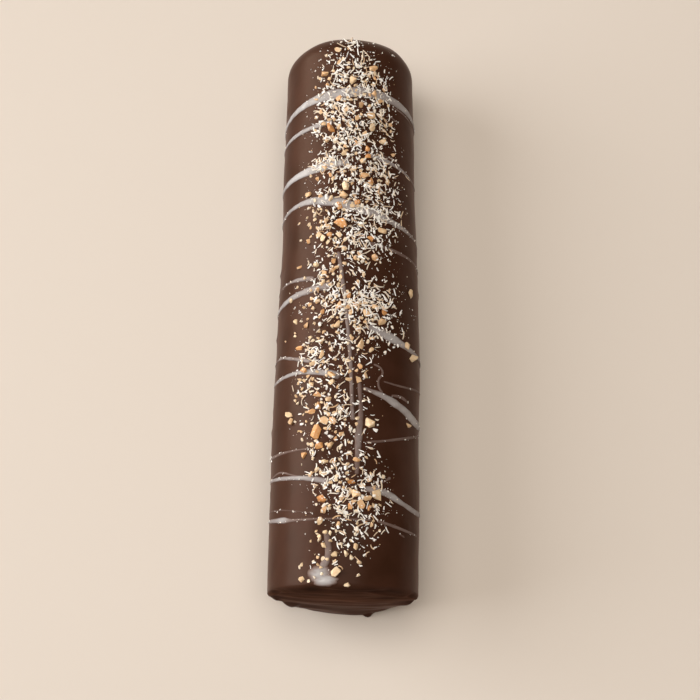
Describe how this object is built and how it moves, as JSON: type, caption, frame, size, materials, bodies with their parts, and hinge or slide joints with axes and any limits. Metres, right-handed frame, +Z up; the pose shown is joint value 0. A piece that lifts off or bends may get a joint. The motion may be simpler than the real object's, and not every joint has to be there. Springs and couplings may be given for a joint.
{
  "type": "swiss roll",
  "caption": "Whole swiss roll under dark chocolate: a long rounded cake log with icing drizzle, chopped nuts and coconut shreds along its top.",
  "frame": {"origin": "on the table plane, under the middle of the roll's box", "axes": "+Z up, +Y along the roll from its thicker near end to its rounder far end, +X to the right of that"},
  "size_m": [0.0756, 0.3038, 0.0716],
  "materials": {
    "chocolate_coat": "dark chocolate coating, satin",
    "icing": "thin set sugar icing, slightly translucent",
    "nuts": "roasted chopped nuts, matt",
    "coconut": "dried coconut shreds, matt"
  },
  "bodies": {
    "root": {"swiss_roll": "chocolate_coat"}
  },
  "joints": []
}
